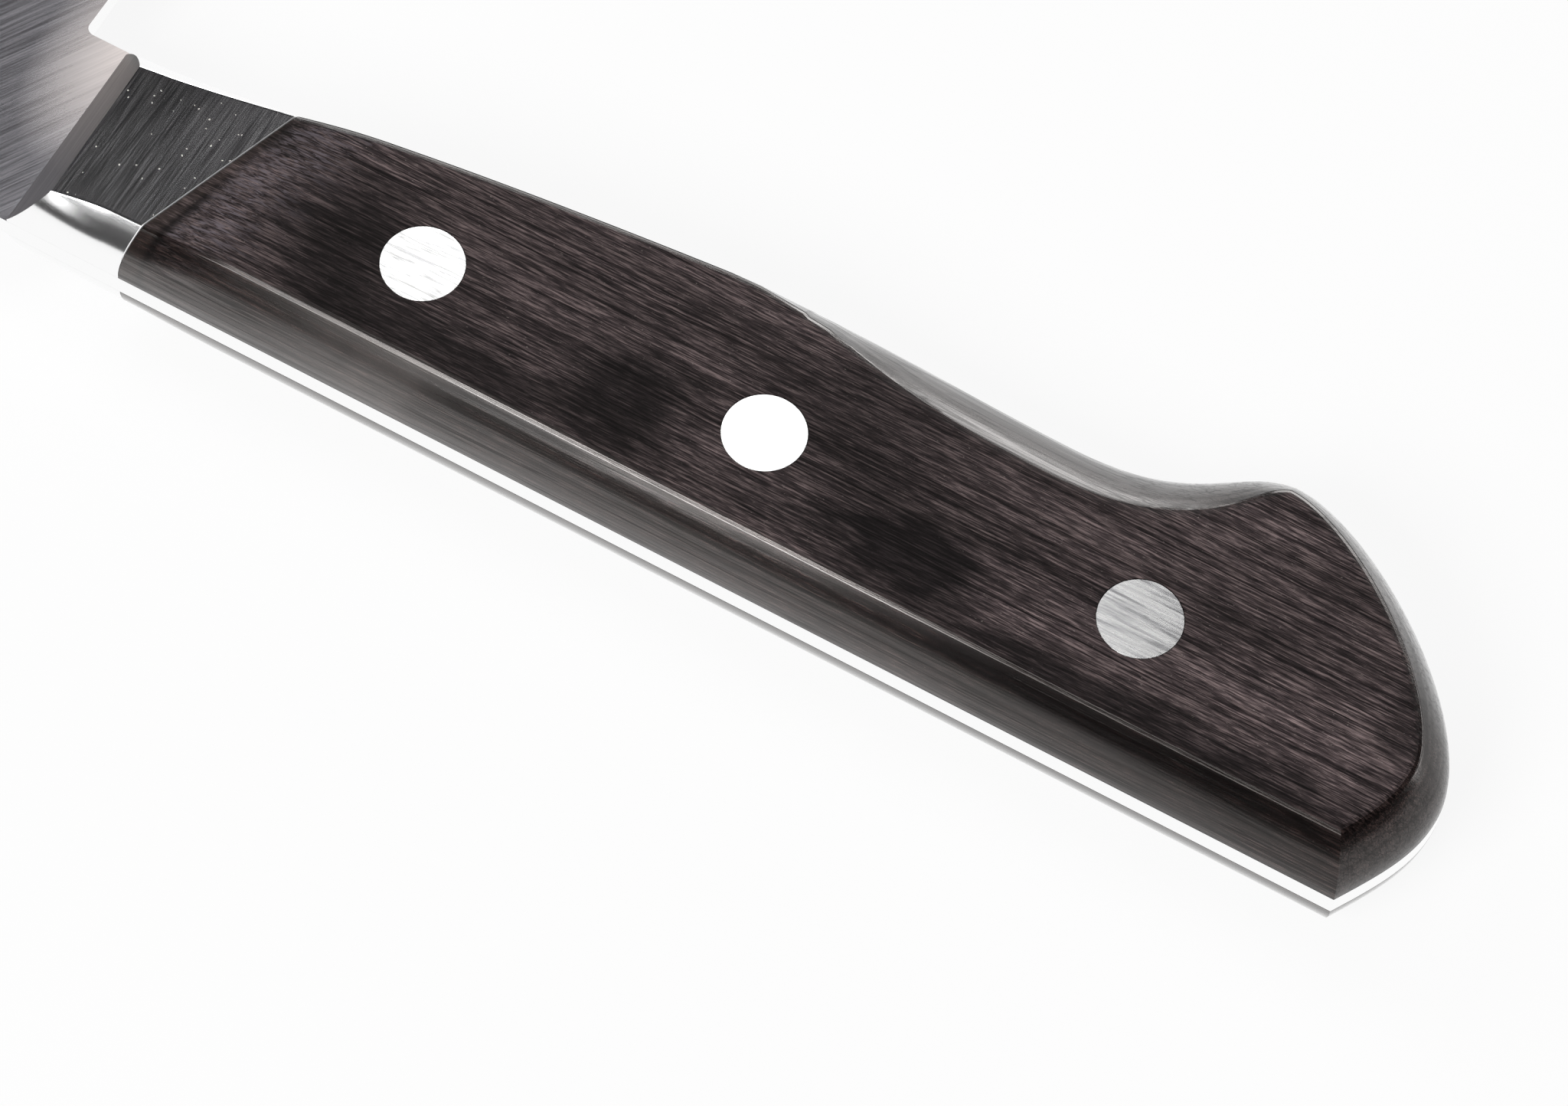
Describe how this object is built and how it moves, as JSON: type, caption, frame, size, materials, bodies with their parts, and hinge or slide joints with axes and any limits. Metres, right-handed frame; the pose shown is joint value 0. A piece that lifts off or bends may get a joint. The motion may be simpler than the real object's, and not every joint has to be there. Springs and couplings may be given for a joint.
{
  "type": "chef knife",
  "caption": "Western chef knife: long tapered steel blade with a full tang, slanted bolster and dark laminated wood scales riveted to it, with a finger groove and a beaked butt.",
  "frame": {"origin": "under the middle of the knife's box, on the surface that the left side of the handle lies on", "axes": "+X along the spine from the tip to the butt, +Y from the spine to the cutting edge, +Z from the left flank up to the right flank"},
  "size_m": [0.3396, 0.046, 0.0141],
  "materials": {
    "blade_steel": "satin, ground lengthwise",
    "bolster_steel": "satin faces, polished round edges",
    "rivet_steel": "ground flush with the scales",
    "handle_wood": "laminated, resin-soaked, satin"
  },
  "bodies": {
    "root": {"blade": "blade_steel", "bolster_right": "bolster_steel", "bolster_left": "bolster_steel", "scale_right": "handle_wood", "scale_left": "handle_wood", "rivet_front_male": "rivet_steel", "rivet_front_female": "rivet_steel", "rivet_middle_male": "rivet_steel", "rivet_middle_female": "rivet_steel", "rivet_rear_male": "rivet_steel", "rivet_rear_female": "rivet_steel"}
  },
  "joints": []
}
